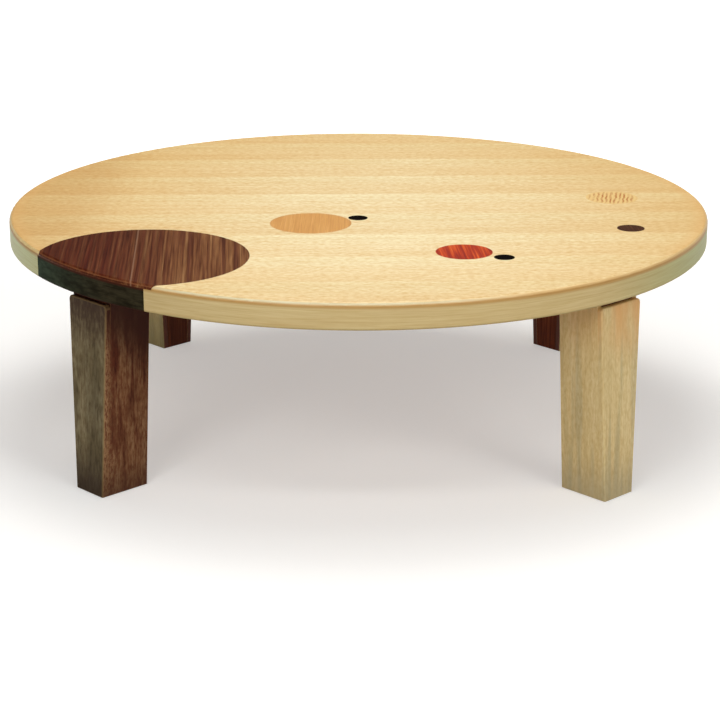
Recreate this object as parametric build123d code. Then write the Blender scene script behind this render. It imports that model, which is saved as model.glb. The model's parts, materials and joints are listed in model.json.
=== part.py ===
from build123d import *
import math
import os

# Round low table with four legs that fold inward, in millimetres.
# The origin is on the floor under the middle of the top. +Z is up, and -Y is the front.

# --- the top -------------------------------------------------------------------------
table_height = 327.0
top_diameter = 1050.0
top_thickness = 38.0
veneer_thickness = 1.0
top_ply_thickness = 5.0
bottom_ply_thickness = 4.0
band_depth = 18.0  # how far the edge band reaches inward from the rim
rim_round = 6.0  # rounding of the upper rim
rim_round_under = 2.5  # rounding of the lower rim
glue_gap = 0.1  # thickness of glue around an inlay and inside the edge band

# --- the inlaid discs ------------------------------------------------------------------
walnut_disc_radius = 149.3
walnut_disc_inset = 100.0  # from the rim to a disc's middle; here it is less than the radius
walnut_disc_bearing = -134.0  # degrees, seen from the middle of the top
walnut_band_before = 128.0  # along the rim, from the disc's bearing to the band's first seam
walnut_band_after = 111.0  # the same to its second seam
cherry_disc_radius = 60.0
cherry_disc_inset = 392.0
cherry_disc_bearing = -121.0
padauk_disc_radius = 40.0
padauk_disc_inset = 214.9
padauk_disc_bearing = -60.54
zebrano_disc_radius = 40.0
zebrano_disc_inset = 131.6
zebrano_disc_bearing = 8.04
rosewood_disc_radius = 20.0
rosewood_disc_inset = 104.1
rosewood_disc_bearing = -18.35
dot_radius = 14.5
centre_dot_gap = 2.2  # between the rims of the cherry disc and the dot beside it
centre_dot_bearing = 25.9  # degrees, seen from the middle of the cherry disc
outer_dot_gap = 7.0  # the same from the padauk disc
outer_dot_bearing = -26.6

# --- the frame inside the top ---------------------------------------------------------
block_length = 127.0  # along the radius
block_width = 130.0
block_rim_gap = 5.0  # from a block's outer end to the edge band's inner face
rail_width = 30.0
rail_pitch = 105.0
rail_count = 9
rail_gap = 0.2  # between a rail and what it ends against

# --- the legs -------------------------------------------------------------------------
leg_names = ("back_right", "back_left", "front_left", "front_right")  # counted anticlockwise
first_leg_angle = 45.0
leg_top_setback = 9.4  # from the rim to the outer face, at the underside
leg_foot_setback = 0.2  # the same at the floor
leg_top_depth = 76.5  # along the radius
leg_foot_depth = 80.0
leg_top_width = 84.0  # across the radius
leg_foot_width = 59.2
outer_board_thickness = 8.0
side_board_thickness = 9.0
inner_board_thickness = 8.0
outer_board_drop = 8.0  # from the underside of the top to the outer board's upper end
outer_board_corner = 6.0
arris_round = 2.0
side_board_gap = 0.6  # from the underside of the top to the side boards
foot_block_height = 28.0
pad_thickness = 1.0
pad_inset = 5.0
pad_corner = 4.0

# --- the folding hinge ----------------------------------------------------------------
pivot_drop = 32.0  # from the underside of the top to the hinge pin
pivot_inset = 28.0  # from the leg's inner face to the hinge pin
steel_thickness = 2.5
bracket_side_gap = 1.3  # between an ear's lower end and the side board beside it
bracket_front = 32.0  # outward from the pin
bracket_tongue = 84.0  # inward from the pin
bracket_tongue_width = 44.0
bracket_corner = 5.0
ear_half_length = 20.0
ear_end_radius = 14.0
ear_clearance = 0.5  # between an ear and the wood beside it
ear_slot_margin = 1.5  # beyond the ear's sweep
bearing_gap = 0.3  # between the bracket and the leg's head
pin_radius = 4.0
pin_running_gap = 0.05
pin_press_gap = 0.02
pin_head_radius = 6.0
pin_head_thickness = 0.8
head_block_reach = 72.0  # below the pin

# --- the cam plate in the leg and the leaf spring that holds it ------------------------
cam_thickness = 8.0
cam_flat = 12.0  # from the pin to each flat
cam_corner = 4.0
cam_back = 14.0  # from the pin to the plate's outer edge
cam_tail_front = 6.0  # from the pin to the tail's inner edge
cam_tail_reach = 60.0  # below the pin
slot_gap = 0.2  # each side of the cam plate
cam_rivet_radius = 2.5
cam_rivet_end_gap = 4.7  # from a rivet's end to the plane of the head's cheek
upper_cam_rivet_drop = 28.0  # below the pin
lower_cam_rivet_drop = 50.0
cam_rivet_offset = 3.0
spring_thickness = 1.4
spring_width = 7.6
spring_flat_end = 50.0  # inward from the pin, where the spring leaves the bracket
spring_root_end = 72.0  # inward from the pin, where the spring ends
spring_contact = 9.0  # half the length that lies over the cam
spring_contact_gap = 0.05
spring_bend = 4.0
spring_tip_rise = 3.0
spring_tip_reach = 3.0
rivet_radius = 1.5
rivet_head_radius = 3.0
rivet_head_thickness = 1.2
outer_rivet_inset = 56.0  # inward from the pin
inner_rivet_inset = 66.0

# --- the wood screws ------------------------------------------------------------------
screw_radius = 2.25
screw_head_radius = 4.5
screw_length = 26.0
screw_tip = 5.0
screw_tip_radius = 0.3
front_screw_reach = 22.0  # outward from the pin
front_screw_margin = 12.7  # from the bracket's side edge
middle_screw_reach = 38.0  # inward from the pin
end_screw_reach = 76.0  # inward from the pin
tongue_screw_margin = 8.0  # from the tongue's side edge
recess_length = 5.0
recess_width = 1.0
recess_depth = 1.8

# --- worked out from the above --------------------------------------------------------
top_radius = top_diameter / 2
underside = table_height - top_thickness
veneer_low = table_height - veneer_thickness
ply_low = veneer_low - top_ply_thickness
bottom_ply_high = underside + bottom_ply_thickness
band_inner_radius = top_radius - band_depth
pivot_height = underside - pivot_drop
bracket_low = underside - steel_thickness
leg_head = bracket_low - bearing_gap
slot_half = cam_thickness / 2 + slot_gap
screw_hole_radius = screw_radius + pin_running_gap
cam_rivet_drops = (upper_cam_rivet_drop, lower_cam_rivet_drop)
rivet_insets = (outer_rivet_inset, inner_rivet_inset)
leg_angles = {
    name: first_leg_angle + 360 / len(leg_names) * turn for turn, name in enumerate(leg_names)
}
leg_top_radius = top_radius - leg_top_setback
leg_foot_radius = top_radius - leg_foot_setback


def along(foot_value, top_value):
    """A size that changes evenly from the floor to the underside of the top."""
    return lambda z: foot_value + (top_value - foot_value) * z / underside


leg_outer = along(leg_foot_radius, leg_top_radius)
leg_inner = along(leg_foot_radius - leg_foot_depth, leg_top_radius - leg_top_depth)
leg_half = along(leg_foot_width / 2, leg_top_width / 2)
pivot_radius = leg_inner(pivot_height) + pivot_inset


def core_outer(z):
    """Back of the outer board."""
    return leg_outer(z) - outer_board_thickness


def core_half(z):
    """Inner faces of the side boards."""
    return leg_half(z) - side_board_thickness


bracket_half_width = core_half(pivot_height - ear_end_radius) - bracket_side_gap
ear_inner = bracket_half_width - steel_thickness
cheek_half = ear_inner - ear_clearance
cam_rivet_half_length = cheek_half - cam_rivet_end_gap
front_screw_half_spacing = bracket_half_width - front_screw_margin
tongue_screw_half_spacing = bracket_tongue_width / 2 - tongue_screw_margin
screw_places = (
    (front_screw_reach, front_screw_half_spacing),
    (-middle_screw_reach, tongue_screw_half_spacing),
    (-end_screw_reach, tongue_screw_half_spacing),
)


def from_rim(inset, bearing, radius):
    """A disc's middle and radius, from how far inside the rim it is and its bearing."""
    reach = top_radius - inset
    turn = math.radians(bearing)
    return reach * math.cos(turn), reach * math.sin(turn), radius


def beside(disc, bearing, gap, radius):
    """The same for a disc that lies beside another one."""
    x, y, other_radius = disc
    reach = other_radius + gap + radius
    turn = math.radians(bearing)
    return x + reach * math.cos(turn), y + reach * math.sin(turn), radius


walnut_disc = from_rim(walnut_disc_inset, walnut_disc_bearing, walnut_disc_radius)
cherry_disc = from_rim(cherry_disc_inset, cherry_disc_bearing, cherry_disc_radius)
padauk_disc = from_rim(padauk_disc_inset, padauk_disc_bearing, padauk_disc_radius)
zebrano_disc = from_rim(zebrano_disc_inset, zebrano_disc_bearing, zebrano_disc_radius)
rosewood_disc = from_rim(rosewood_disc_inset, rosewood_disc_bearing, rosewood_disc_radius)
inlays = {
    "inlay_large_walnut": walnut_disc,
    "inlay_cherry": cherry_disc,
    "inlay_padauk": padauk_disc,
    "inlay_zebrano": zebrano_disc,
    "inlay_rosewood": rosewood_disc,
    "inlay_ebony_outer": beside(padauk_disc, outer_dot_bearing, outer_dot_gap, dot_radius),
    "inlay_ebony_centre": beside(cherry_disc, centre_dot_bearing, centre_dot_gap, dot_radius),
}


# --- helpers --------------------------------------------------------------------------
def save(node, shapes):
    """Writes one node, from one solid or a list of separate solids."""
    solids = shapes if isinstance(shapes, list) else [shapes]
    solids = [solid for shape in solids for solid in shape.solids()]
    export_step(solids[0] if len(solids) == 1 else Compound(children=solids), f"parts/{node}.step")


def slab(low, high, radius):
    """A flat disc between two heights."""
    return Pos(0, 0, low) * Cylinder(
        radius, high - low, align=(Align.CENTER, Align.CENTER, Align.MIN)
    )


def block(x_range, y_range, z_range):
    """A box between two corners."""
    size = [high - low for low, high in (x_range, y_range, z_range)]
    corner = (x_range[0], y_range[0], z_range[0])
    return Pos(*corner) * Box(*size, align=(Align.MIN, Align.MIN, Align.MIN))


def tapered(z_low, z_high, x_in, x_out, y_low, y_high):
    """A six-sided board whose faces follow sizes that change with height."""
    low, high = [
        [(x, y, z) for x, y in ((x_in(z), y_low(z)), (x_out(z), y_low(z)),
                                (x_out(z), y_high(z)), (x_in(z), y_high(z)))]
        for z in (z_low, z_high)
    ]
    faces = [Face(Wire.make_polygon(low[::-1])), Face(Wire.make_polygon(high))]
    for i in range(4):
        j = (i + 1) % 4
        faces.append(Face(Wire.make_polygon([low[i], low[j], high[j], high[i]])))
    return Solid(Shell(faces))


def upright_edges(shape):
    """The edges that run from foot to head."""
    return shape.edges().filter_by(lambda edge: abs(edge.tangent_at(0.5).Z) > 0.9)


def across(radius, half_length, x, z):
    """A round bar that lies along Y."""
    return Pos(x, 0, z) * Rot(90, 0, 0) * Cylinder(radius, 2 * half_length)


def at_legs(shape):
    """Copies of a shape that was made on the +X side, one at each leg."""
    return [shape.rotate(Axis.Z, angle) for angle in leg_angles.values()]


def on_profile(points, half_width):
    """A plate that lies in the XZ plane, from its corners."""
    return extrude(Plane.XZ * make_face(Polyline(*points, close=True)), half_width, both=True)


# --- the top --------------------------------------------------------------------------
def top_blank():
    """The whole top as one rounded disc, which the layers are cut from."""
    disc = slab(underside, table_height, top_radius)
    rims = disc.edges().filter_by(GeomType.CIRCLE).sort_by(Axis.Z)
    disc = fillet(rims[-1], rim_round)
    lower = disc.edges().filter_by(GeomType.CIRCLE).sort_by(Axis.Z)[0]
    return fillet(lower, rim_round_under)


def band_angles():
    """The seams of the walnut band, where the large inlay runs out over the rim."""
    return (walnut_disc_bearing - math.degrees(walnut_band_before / top_radius),
            walnut_disc_bearing + math.degrees(walnut_band_after / top_radius))


def sector(start, end):
    """A wedge of the table's full height between two angles less than 180 degrees apart."""
    reach = 2 * top_diameter
    corners = [(0, 0)]
    for angle in (start, (start + end) / 2, end):
        turn = math.radians(angle)
        corners.append((reach * math.cos(turn), reach * math.sin(turn)))
    return extrude(make_face(Polyline(*corners, close=True)), table_height)


def screw_axes():
    """Places of one bracket's screws, on the +X side."""
    return [(pivot_radius + x, side * y) for x, y in screw_places for side in (-1, 1)]


def screw_holes():
    """One bar for each screw, which clears its hole."""
    bars = [
        Pos(x, y, bracket_low) * Cylinder(screw_hole_radius, screw_length + steel_thickness,
                                          align=(Align.CENTER, Align.CENTER, Align.MIN))
        for x, y in screw_axes()
    ]
    return [copy for bar in bars for copy in at_legs(bar)]


def leg_block():
    """The solid block inside the top that one bracket is screwed to."""
    outer = math.sqrt(band_inner_radius**2 - (block_width / 2) ** 2) - block_rim_gap
    half = block_width / 2
    return block((outer - block_length, outer), (-half, half), (bottom_ply_high, ply_low))


def make_top():
    blank = top_blank()
    discs = {
        name: Pos(x, y, ply_low) * Cylinder(radius, table_height - ply_low,
                                            align=(Align.CENTER, Align.CENTER, Align.MIN))
        for name, (x, y, radius) in inlays.items()
    }
    holes = [
        Pos(x, y, ply_low) * Cylinder(radius + glue_gap, table_height - ply_low,
                                      align=(Align.CENTER, Align.CENTER, Align.MIN))
        for x, y, radius in inlays.values()
    ]
    wide = top_diameter
    save("top_veneer", (blank & slab(veneer_low, table_height, wide)) - holes)
    save("top_plywood", (blank & slab(ply_low, veneer_low, wide)) - holes)
    for name, disc in discs.items():
        save(name, blank & disc)

    ring = (blank & slab(underside, ply_low, wide)) - slab(underside, ply_low, band_inner_radius)
    wedge = sector(*band_angles())
    save("edge_band_walnut", ring & wedge)
    save("edge_band_maple", ring - wedge)

    bars = screw_holes()
    inside = band_inner_radius - glue_gap
    save("bottom_plywood", slab(underside, bottom_ply_high, inside) - bars)
    blocks = at_legs(leg_block())
    save("leg_blocks", [piece - bars for piece in blocks])
    rails = []
    for i in range(rail_count):
        y = (i - (rail_count - 1) / 2) * rail_pitch
        rail = block((-wide, wide), (y - rail_width / 2, y + rail_width / 2),
                     (bottom_ply_high, ply_low))
        rails.append(rail & slab(bottom_ply_high, ply_low, inside))
    clear = at_legs(offset(leg_block(), rail_gap, kind=Kind.INTERSECTION))
    save("core_rails", [rail - clear for rail in rails])


# --- one leg, made on the +X side -----------------------------------------------------
def rounded_head(shape):
    """Rounds the upper inner edge about the hinge pin, so that the leg can swing."""
    edge = shape.edges().filter_by(Axis.Y).group_by(Axis.Z)[-1].sort_by(Axis.X)[0]
    return fillet(edge, pivot_inset)


def outer_board():
    board = tapered(pad_thickness, underside - outer_board_drop, core_outer, leg_outer,
                    lambda z: -leg_half(z), leg_half)
    corners = board.edges().filter_by(Axis.X).group_by(Axis.Z)[-1]
    board = fillet(corners, outer_board_corner)
    outer_edges = upright_edges(board).sort_by(Axis.X)[-2:]
    return fillet(outer_edges, arris_round)


def side_board():
    top = underside - side_board_gap
    board = tapered(pad_thickness, top, leg_inner, core_outer, core_half, leg_half)
    board = rounded_head(board)
    outer_edge = upright_edges(board).sort_by(Axis.X)[:2].sort_by(Axis.Y)[-1]
    return fillet(outer_edge, arris_round)


def inner_board():
    return tapered(pad_thickness, pivot_height - head_block_reach, leg_inner,
                   lambda z: leg_inner(z) + inner_board_thickness,
                   lambda z: -core_half(z), core_half)


def foot_block():
    return tapered(pad_thickness, pad_thickness + foot_block_height,
                   lambda z: leg_inner(z) + inner_board_thickness, core_outer,
                   lambda z: -core_half(z), core_half)


def glide_pad():
    length = leg_foot_depth - 2 * pad_inset
    width = leg_foot_width - 2 * pad_inset
    outline = RectangleRounded(length, width, pad_corner)
    middle = leg_foot_radius - leg_foot_depth / 2
    return extrude(Pos(middle, 0, 0) * outline, pad_thickness)


def head_block():
    body = tapered(pivot_height - head_block_reach, leg_head, leg_inner, core_outer,
                   lambda z: -core_half(z), core_half)
    body = rounded_head(body)
    inward = pivot_radius - 2 * pivot_inset
    sweep_x = pivot_radius + ear_half_length + ear_slot_margin
    sweep_z = pivot_height - ear_half_length - ear_slot_margin
    slot = block((inward, sweep_x), (cheek_half, leg_top_width), (sweep_z, table_height))
    corner = slot.edges().filter_by(Axis.Y).group_by(Axis.Z)[0].sort_by(Axis.X)[-1]
    slot = fillet(corner, ear_end_radius)
    body = body - slot - mirror(slot, Plane.XZ)
    cam_slot = block((inward, pivot_radius + cam_back + slot_gap), (-slot_half, slot_half),
                     (pivot_height - head_block_reach, table_height))
    body = body - cam_slot
    body = body - across(pin_radius + pin_running_gap, leg_top_width, pivot_radius, pivot_height)
    for drop in cam_rivet_drops:
        body = body - across(cam_rivet_radius + pin_press_gap, cam_rivet_half_length,
                             pivot_radius + cam_rivet_offset, pivot_height - drop)
    return body


def cam_plate():
    left, right = pivot_radius - cam_flat, pivot_radius + cam_back
    top, hub_low = pivot_height + cam_flat, pivot_height - cam_flat
    tail_left, tail_low = pivot_radius - cam_tail_front, pivot_height - cam_tail_reach
    plate = on_profile(
        [(left, top), (right, top), (right, tail_low), (tail_left, tail_low),
         (tail_left, hub_low), (left, hub_low)], cam_thickness / 2)
    tail_end, hub_end, hub_top = plate.edges().filter_by(Axis.Y).group_by(Axis.Z)
    plate = fillet(tail_end + hub_top + hub_end.sort_by(Axis.X)[:1], cam_corner)
    plate = plate - across(pin_radius + pin_running_gap, cam_thickness, pivot_radius, pivot_height)
    for drop in cam_rivet_drops:
        plate = plate - across(cam_rivet_radius + pin_press_gap, cam_thickness,
                               pivot_radius + cam_rivet_offset, pivot_height - drop)
    return plate


def cam_rivets():
    return [
        across(cam_rivet_radius, cam_rivet_half_length,
               pivot_radius + cam_rivet_offset, pivot_height - drop)
        for drop in cam_rivet_drops
    ]


# --- the hardware under the top, made on the +X side ----------------------------------
def bracket():
    """A folded steel plate: it is screwed up to the top, and its two ears hold the pin."""
    half_tongue = bracket_tongue_width / 2
    plate = block((pivot_radius - ear_half_length, pivot_radius + bracket_front),
                  (-bracket_half_width, bracket_half_width), (bracket_low, underside))
    tongue = block((pivot_radius - bracket_tongue, pivot_radius), (-half_tongue, half_tongue),
                   (bracket_low, underside))
    plate = plate + tongue
    ends = plate.edges().filter_by(Axis.Z).sort_by(Axis.X)
    plate = fillet(ends[:2] + ends[-2:], bracket_corner)
    rounded_end = Pos(pivot_radius, pivot_height) * Circle(ear_end_radius)
    bend = Line((pivot_radius - ear_half_length, bracket_low),
                (pivot_radius + ear_half_length, bracket_low))
    ear_profile = make_hull([*rounded_end.edges(), bend])
    ear = Pos(0, bracket_half_width, 0) * extrude(Plane.XZ * ear_profile, steel_thickness)
    ears = [ear, mirror(ear, Plane.XZ)]
    body = plate + ears
    body = body - across(pin_radius + pin_press_gap, leg_top_width, pivot_radius, pivot_height)
    for x, y in screw_axes():
        body = body - Pos(x, y, bracket_low) * Cylinder(
            screw_hole_radius, steel_thickness, align=(Align.CENTER, Align.CENTER, Align.MIN))
        body = body - Pos(x, y, bracket_low) * screw_head(pin_running_gap)
    for inset in rivet_insets:
        body = body - Pos(pivot_radius - inset, 0, bracket_low) * Cylinder(
            rivet_radius + pin_press_gap, steel_thickness,
            align=(Align.CENTER, Align.CENTER, Align.MIN))
    return body


def screw_head(gap):
    """The countersunk cone, point up, grown by a gap."""
    height = screw_head_radius - screw_radius
    return Cone(screw_head_radius + gap, screw_radius + gap, height,
                align=(Align.CENTER, Align.CENTER, Align.MIN))


def screw():
    """A countersunk wood screw that points up, with its head's face at height 0."""
    shank = Cylinder(screw_radius, screw_length - screw_tip,
                     align=(Align.CENTER, Align.CENTER, Align.MIN))
    point = Pos(0, 0, screw_length - screw_tip) * Cone(
        screw_radius, screw_tip_radius, screw_tip, align=(Align.CENTER, Align.CENTER, Align.MIN))
    body = shank + point + screw_head(0)
    for turn in (0, 90):
        body = body - Rot(0, 0, turn) * Box(recess_length, recess_width, 2 * recess_depth)
    return body


def hinge_pin():
    """The pin, riveted over outside both ears."""
    half = bracket_half_width + pin_head_thickness
    body = across(pin_radius, half, pivot_radius, pivot_height)
    for side in (-1, 1):
        middle = side * (half - pin_head_thickness / 2)
        head = across(pin_head_radius, pin_head_thickness / 2, pivot_radius, pivot_height)
        body = body + Pos(0, middle, 0) * head
    return body


def leaf_spring():
    """A strip of spring steel that presses on the flat of the cam plate."""
    high = bracket_low - spring_thickness / 2
    low = pivot_height + cam_flat + spring_contact_gap + spring_thickness / 2
    tip = pivot_radius + spring_contact
    path = FilletPolyline(
        (pivot_radius - spring_root_end, high),
        (pivot_radius - spring_flat_end, high),
        (pivot_radius - spring_contact, low),
        (tip, low),
        (tip + spring_tip_reach, low + spring_tip_rise),
        radius=[spring_bend, spring_bend, spring_thickness],
    )
    strip = extrude(Plane.XZ * trace(path, spring_thickness), spring_width / 2, both=True)
    for inset in rivet_insets:
        strip = strip - Pos(pivot_radius - inset, 0, high) * Cylinder(
            rivet_radius + pin_press_gap, 2 * spring_thickness)
    return strip


def spring_rivets():
    """Two rivets that hold the spring under the bracket, flush with the bracket's upper face."""
    rivets = []
    low = bracket_low - spring_thickness - rivet_head_thickness
    for inset in rivet_insets:
        shank = Cylinder(rivet_radius, underside - low,
                         align=(Align.CENTER, Align.CENTER, Align.MIN))
        head = Cylinder(rivet_head_radius, rivet_head_thickness,
                        align=(Align.CENTER, Align.CENTER, Align.MIN))
        rivet = shank + head
        rim = rivet.edges().filter_by(GeomType.CIRCLE).sort_by(Axis.Z)[0]
        rivet = fillet(rim, rivet_head_thickness / 2)
        rivets.append(Pos(pivot_radius - inset, 0, low) * rivet)
    return rivets


def make_legs():
    side = side_board()
    pieces = {
        "outer_board": outer_board(),
        "side_boards": [side, mirror(side, Plane.XZ)],
        "inner_board": inner_board(),
        "head_block": head_block(),
        "foot_block": foot_block(),
        "glide_pad": glide_pad(),
        "cam_plate": cam_plate(),
        "cam_rivets": cam_rivets(),
        "bracket": bracket(),
        "leaf_spring": leaf_spring(),
    }
    for leg, angle in leg_angles.items():
        for name, shapes in pieces.items():
            solids = shapes if isinstance(shapes, list) else [shapes]
            save(f"{leg}_{name}", [solid.rotate(Axis.Z, angle) for solid in solids])


def make_fasteners():
    screws = [Pos(x, y, bracket_low) * screw() for x, y in screw_axes()]
    save("bracket_screws", [copy for piece in screws for copy in at_legs(piece)])
    save("spring_rivets", [copy for piece in spring_rivets() for copy in at_legs(piece)])
    save("hinge_pins", at_legs(hinge_pin()))


os.makedirs("parts", exist_ok=True)
make_top()
make_legs()
make_fasteners()
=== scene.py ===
# %% [markdown]
# # A round folding low table
# The table is already built as solids: a flush panel with an inlaid maple face, an edge band, and
# four hollow legs that fold inward on steel hinges. This notebook gives the solids their finish.
# Each piece keeps its place, because every solid is loaded where it belongs, in metres.

# %% Load the solids
import json
import math

import bmesh
import bpy
from mathutils import Matrix, Vector

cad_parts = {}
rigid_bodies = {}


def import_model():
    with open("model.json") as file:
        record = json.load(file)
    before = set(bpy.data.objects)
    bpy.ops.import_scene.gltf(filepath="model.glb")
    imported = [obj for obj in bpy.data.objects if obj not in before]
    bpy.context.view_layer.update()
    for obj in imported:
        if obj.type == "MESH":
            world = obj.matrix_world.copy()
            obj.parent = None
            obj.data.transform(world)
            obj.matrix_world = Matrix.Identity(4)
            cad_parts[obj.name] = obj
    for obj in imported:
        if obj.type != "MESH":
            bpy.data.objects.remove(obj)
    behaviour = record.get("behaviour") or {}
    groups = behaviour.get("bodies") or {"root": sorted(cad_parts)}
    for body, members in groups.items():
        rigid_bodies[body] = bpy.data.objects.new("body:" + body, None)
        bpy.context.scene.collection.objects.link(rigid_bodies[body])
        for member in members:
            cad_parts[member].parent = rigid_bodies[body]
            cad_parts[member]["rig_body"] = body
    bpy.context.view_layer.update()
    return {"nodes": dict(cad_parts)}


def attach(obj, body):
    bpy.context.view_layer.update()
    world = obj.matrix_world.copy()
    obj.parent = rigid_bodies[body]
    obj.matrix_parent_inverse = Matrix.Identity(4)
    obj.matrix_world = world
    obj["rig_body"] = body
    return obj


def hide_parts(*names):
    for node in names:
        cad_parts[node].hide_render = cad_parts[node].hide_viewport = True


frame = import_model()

nodes = frame["nodes"]

# %% [markdown]
# ## Sizes and colours
# A cabinetmaker thinks in millimetres and a paint chart is written in hex, so two small functions
# turn both into what Blender wants: metres, and linear light.

# %% Two conversions
def mm(*sizes):
    """Millimetres to metres: one number, or a point."""
    return sizes[0] / 1000 if len(sizes) == 1 else tuple(size / 1000 for size in sizes)


def tint(code):
    """An sRGB hex value as linear red, green, blue and a full alpha."""
    parts = [int(code[i:i + 2], 16) / 255 for i in (1, 3, 5)]
    light = [p / 12.92 if p <= 0.04045 else ((p + 0.055) / 1.055) ** 2.4 for p in parts]
    return tuple(light) + (1.0,)


TABLE_HEIGHT = 327.0
TOP_RADIUS = 525.0
UNDERSIDE = 289.0
LEG_ANGLES = {"back_right": 45, "back_left": 135, "front_left": 225, "front_right": 315}

# %% [markdown]
# ## The camera
# A table like this is best seen from a standing height, a little over three metres away, with a
# long lens that keeps the round top from looking stretched. The camera could be aimed with a
# constraint, but three turns written down are easier to read and never depend on another object.
# They are in radians: down from level, a little to the left, and a trace of roll.

# %% Camera
CAMERA_PLACE = (0.0555, -3.1585, 1.1081)
CAMERA_DOWN = 0.315
CAMERA_HEADING = math.radians(1.007) - 0.0008
CAMERA_ROLL = 0.0017
LENS = 106.72

camera = bpy.data.objects.new("camera", bpy.data.cameras.new("camera"))
camera.data.sensor_width = 36.0
camera.data.lens = LENS
camera.data.clip_end = 100.0
bpy.context.scene.collection.objects.link(camera)
camera.matrix_world = (
    Matrix.Translation(CAMERA_PLACE)
    @ Matrix.Rotation(CAMERA_HEADING, 4, "Z")
    @ Matrix.Rotation(math.pi / 2 - CAMERA_DOWN, 4, "X")
    @ Matrix.Rotation(CAMERA_ROLL, 4, "Z")
)
bpy.context.scene.camera = camera
bpy.context.scene.view_settings.view_transform = "Standard"
print("camera", round(math.dist(CAMERA_PLACE, (0, 0, 0)), 2), "m from the table's middle")

# %% [markdown]
# ## Adding nodes
# A material is a small graph. One function adds any node: its settings come by name, its inputs
# take a value or a link, and a colour ramp takes its stops as pairs of a place and a colour.

# %% One function for every node
def add(tree, kind, inputs=None, stops=None, **settings):
    """Adds a node and returns it. An input takes a value, or another node's output as a link."""
    node = tree.nodes.new(kind)
    for name, value in settings.items():
        setattr(node, name, value)
    for key, value in (inputs or {}).items():
        if isinstance(value, bpy.types.NodeSocket):
            tree.links.new(value, node.inputs[key])
        else:
            node.inputs[key].default_value = value
    if stops:
        ramp = node.color_ramp.elements
        while len(ramp) < len(stops):
            ramp.new(1.0)
        for element, (place, code) in zip(ramp, stops):
            element.position = place
            element.color = tint(code)
    return node


def blank_material(name):
    """A new material with an empty graph, and that graph."""
    material = bpy.data.materials.new(name)
    material.use_nodes = True
    material.node_tree.nodes.clear()
    return material, material.node_tree


print("ready to add nodes")

# %% [markdown]
# ## The studio
# The table stands on a plain pale floor in even light. Near the table the floor is plain paper, so
# the table's shadow stays; further out it turns to pure white. A larger lamp would whiten it too,
# but it would bleach the wood. So the paper glows only for the camera and for reflections, which a
# Light Path node tells apart. From below, the floor is clear, so that the underside can be seen.

# %% Floor
FLOOR_HALF = 30.0
PAPER = "#DCDAD6"
GLOW_NEAR, GLOW_FAR = 0.38, 1.0
GLOW_FROM, GLOW_TO = 0.75, 2.2


def seen_directly(tree):
    """1 where the camera, a reflection or glass looks, and 0 where light is gathered."""
    path = add(tree, "ShaderNodeLightPath").outputs
    direct = add(tree, "ShaderNodeMath", {0: path["Is Camera Ray"], 1: path["Is Glossy Ray"]},
                 operation="MAXIMUM").outputs[0]
    return add(tree, "ShaderNodeMath", {0: direct, 1: path["Is Transmission Ray"]},
               operation="MAXIMUM").outputs[0]


sheet = bmesh.new()
bmesh.ops.create_grid(sheet, x_segments=1, y_segments=1, size=FLOOR_HALF)
floor = bpy.data.objects.new("floor", bpy.data.meshes.new("floor"))
sheet.to_mesh(floor.data)
sheet.free()
bpy.context.scene.collection.objects.link(floor)

paper, tree = blank_material("studio_paper_matt")
spot = add(tree, "ShaderNodeTexCoord").outputs["Object"]
away = add(tree, "ShaderNodeVectorMath", {0: spot}, operation="LENGTH").outputs["Value"]
fade = add(tree, "ShaderNodeMapRange", {"Value": away, "From Min": GLOW_FROM, "From Max": GLOW_TO,
                                        "To Min": GLOW_NEAR, "To Max": GLOW_FAR},
           interpolation_type="SMOOTHSTEP").outputs[0]
glow = add(tree, "ShaderNodeMath", {0: fade, 1: seen_directly(tree)}, operation="MULTIPLY")
glow = add(tree, "ShaderNodeEmission", {"Color": (1, 1, 1, 1), "Strength": glow.outputs[0]})
matt = add(tree, "ShaderNodeBsdfDiffuse", {"Color": tint(PAPER)})
both = add(tree, "ShaderNodeAddShader", {0: matt.outputs[0], 1: glow.outputs[0]})
below = add(tree, "ShaderNodeNewGeometry").outputs["Backfacing"]
clear = add(tree, "ShaderNodeBsdfTransparent")
sided = add(tree, "ShaderNodeMixShader", {0: below, 1: both.outputs[0], 2: clear.outputs[0]})
add(tree, "ShaderNodeOutputMaterial", {"Surface": sided.outputs[0]})
floor.data.materials.append(paper)
print("floor", 2 * FLOOR_HALF, "m wide")

# %% [markdown]
# Beyond the floor stands a white sweep, with the dimmer room above it. Reflections see both, so
# that lacquer and steel have something to mirror. The camera sees white all round. The wood gathers
# neither: it only gets a low, even light, which keeps its shaded sides from going black.

# %% Sweep and room
AMBIENT = 0.24
ROOM = 0.08
SWEEP_TOP = math.sin(math.radians(1))
ROOM_FROM = math.sin(math.radians(6))

world = bpy.data.worlds.new("studio")
bpy.context.scene.world = world
world.use_nodes = True
tree = world.node_tree
tree.nodes.clear()
sky_place = add(tree, "ShaderNodeTexCoord").outputs["Generated"]
height = add(tree, "ShaderNodeSeparateXYZ", {0: sky_place}).outputs["Z"]
sweep = add(tree, "ShaderNodeMapRange", {"Value": height, "From Min": SWEEP_TOP,
                                         "From Max": ROOM_FROM, "To Min": 1.0, "To Max": ROOM},
            interpolation_type="SMOOTHSTEP").outputs[0]
camera_ray = add(tree, "ShaderNodeLightPath").outputs["Is Camera Ray"]
seen = add(tree, "ShaderNodeMix", {0: camera_ray, 2: sweep, 3: 1.0}).outputs[0]
strength = add(tree, "ShaderNodeMix", {0: seen_directly(tree), 2: AMBIENT, 3: seen}).outputs[0]
sky = add(tree, "ShaderNodeBackground", {"Color": (1, 1, 1, 1), "Strength": strength})
add(tree, "ShaderNodeOutputWorld", {"Surface": sky.outputs[0]})
print("room light", AMBIENT)

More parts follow.
